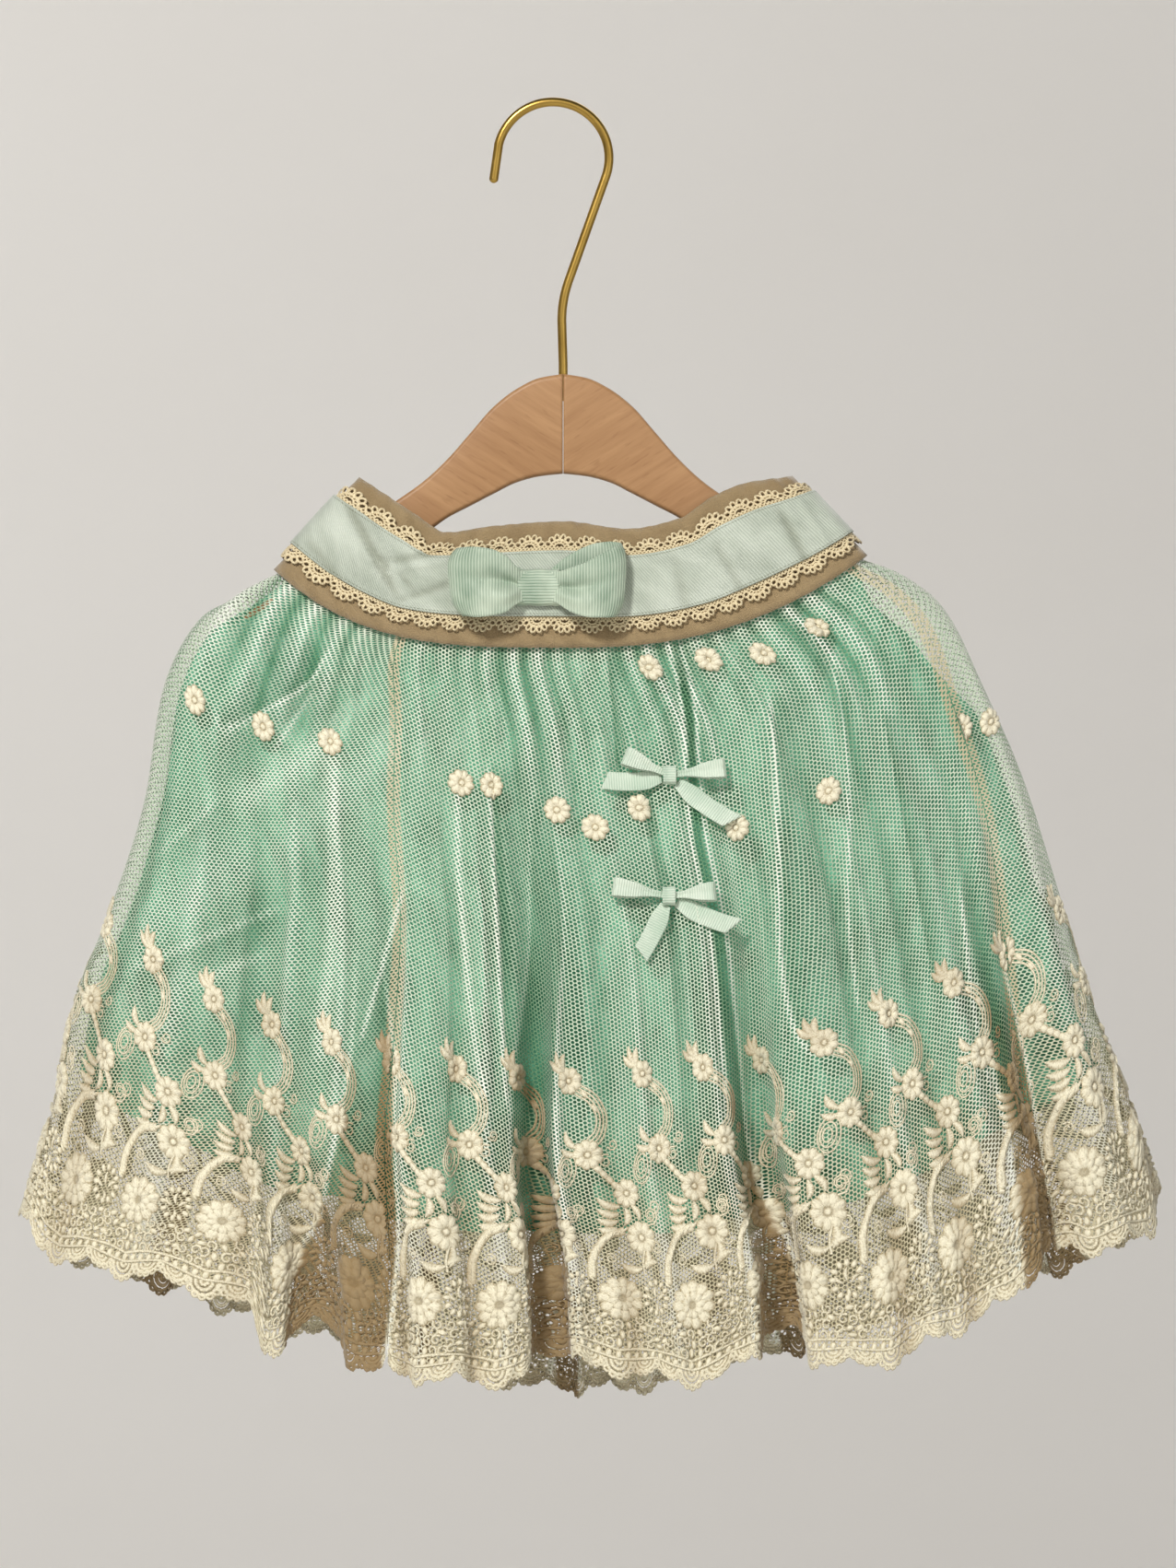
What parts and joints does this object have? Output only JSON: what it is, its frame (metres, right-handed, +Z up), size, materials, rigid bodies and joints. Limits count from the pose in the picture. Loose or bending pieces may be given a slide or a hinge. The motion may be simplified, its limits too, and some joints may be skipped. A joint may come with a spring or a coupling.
{
  "type": "mini skirt on a wooden hanger",
  "caption": "Child's gathered mini skirt of embroidered net over mint satin, its contoured waistband held by a wooden hanger with a wire hook.",
  "frame": {"origin": "inside of the hook's crown, where the hanger hangs", "axes": "+X the viewer's right as the front is seen, -Y out of the front, +Z up"},
  "size_m": [0.4934, 0.1027, 0.5609],
  "materials": {
    "ivory_net": "matt net",
    "mint_satin": "satin",
    "beige_velvet": "velvet",
    "pale_grosgrain": "ribbed",
    "cream_lace": "matt",
    "ivory_stitch": "matt",
    "light_beech": "clear satin",
    "satin_brass": "satin"
  },
  "bodies": {
    "root": {"net_front": "ivory_net", "net_wrap": "ivory_net", "lining_front": "mint_satin", "lining_back": "mint_satin", "waistband_base": "beige_velvet", "waistband_ribbon": "pale_grosgrain", "picot_lace_top": "cream_lace", "picot_lace_bottom": "cream_lace", "belt_bow_loop_left": "pale_grosgrain", "belt_bow_loop_right": "pale_grosgrain", "belt_bow_knot": "pale_grosgrain", "hanger_wood_left": "light_beech", "hanger_wood_right": "light_beech", "hanger_hook": "satin_brass", "upper_bow_loop_left": "pale_grosgrain", "upper_bow_tail_left": "pale_grosgrain", "upper_bow_loop_right": "pale_grosgrain", "upper_bow_tail_right": "pale_grosgrain", "upper_bow_knot": "pale_grosgrain", "lower_bow_loop_left": "pale_grosgrain", "lower_bow_tail_left": "pale_grosgrain", "lower_bow_loop_right": "pale_grosgrain", "lower_bow_tail_right": "pale_grosgrain", "lower_bow_knot": "pale_grosgrain", "flower_front_01": "ivory_stitch", "flower_front_02": "ivory_stitch", "flower_front_03": "ivory_stitch", "flower_front_04": "ivory_stitch", "flower_front_05": "ivory_stitch", "flower_front_06": "ivory_stitch", "flower_front_07": "ivory_stitch", "flower_front_08": "ivory_stitch", "flower_front_09": "ivory_stitch", "flower_front_10": "ivory_stitch", "flower_front_11": "ivory_stitch", "flower_front_12": "ivory_stitch", "flower_front_13": "ivory_stitch", "flower_front_14": "ivory_stitch", "flower_front_15": "ivory_stitch", "flower_front_16": "ivory_stitch", "flower_back_01": "ivory_stitch", "flower_back_02": "ivory_stitch", "flower_back_03": "ivory_stitch", "flower_back_04": "ivory_stitch", "flower_back_05": "ivory_stitch", "flower_back_06": "ivory_stitch", "flower_back_07": "ivory_stitch", "flower_back_08": "ivory_stitch"}
  },
  "joints": []
}
